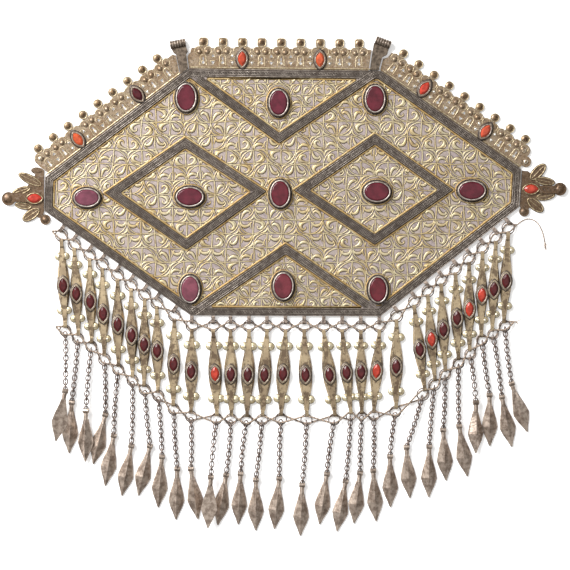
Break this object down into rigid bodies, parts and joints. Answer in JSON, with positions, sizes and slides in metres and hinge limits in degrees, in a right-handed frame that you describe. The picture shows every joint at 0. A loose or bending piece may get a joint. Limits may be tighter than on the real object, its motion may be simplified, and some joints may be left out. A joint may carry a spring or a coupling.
{
  "type": "chest ornament",
  "caption": "Folk chest ornament: a silver plate set with flat carnelians, pierced gilt crests, leafy ends, hanging loops, and a fringe of spindles on rings, with chains and kite-shaped drops.",
  "frame": {"origin": "middle of the back face of the plate, on the surface that the ornament lies on", "axes": "+X to the right across the chest, +Y up toward the hanging loops, +Z out of the decorated front"},
  "size_m": [0.3385, 0.2995, 0.0075],
  "materials": {
    "plate_silver": "worn silver with gilding and dark tarnish",
    "gilt_silver": "worn fire gilding over silver",
    "worn_silver": "worn, with dark tarnish in the recesses",
    "carnelian": "polished, translucent",
    "dark_carnelian": "polished, translucent",
    "cord": "twisted, soiled"
  },
  "bodies": {
    "root": {"chains_left": "worn_silver", "chains_middle": "worn_silver", "chains_right": "worn_silver", "crest_left": "gilt_silver", "crest_right": "gilt_silver", "crest_stone_left_high": "carnelian", "crest_stone_left_low": "carnelian", "crest_stone_right_high": "carnelian", "crest_stone_right_low": "carnelian", "crest_stone_top_left": "carnelian", "crest_stone_top_right": "carnelian", "crest_top": "gilt_silver", "drops_left": "worn_silver", "drops_middle": "worn_silver", "drops_right": "worn_silver", "hanging_loop_left": "worn_silver", "hanging_loop_right": "worn_silver", "lacing_lower": "cord", "lacing_upper": "cord", "plate": "plate_silver", "rings_lower": "worn_silver", "rings_upper": "worn_silver", "spindle_stones_bright": "carnelian", "spindle_stones_dark": "dark_carnelian", "spindles_left": "gilt_silver", "spindles_middle": "gilt_silver", "spindles_right": "gilt_silver", "stone_bottom_left": "carnelian", "stone_bottom_middle": "carnelian", "stone_bottom_right": "carnelian", "stone_centre": "carnelian", "stone_left": "carnelian", "stone_lozenge_left": "carnelian", "stone_lozenge_right": "carnelian", "stone_right": "carnelian", "stone_top_left": "carnelian", "stone_top_middle": "carnelian", "stone_top_right": "carnelian", "terminal_left": "gilt_silver", "terminal_right": "gilt_silver", "terminal_stone_left": "carnelian", "terminal_stone_right": "carnelian", "thread_end": "cord"}
  },
  "joints": []
}
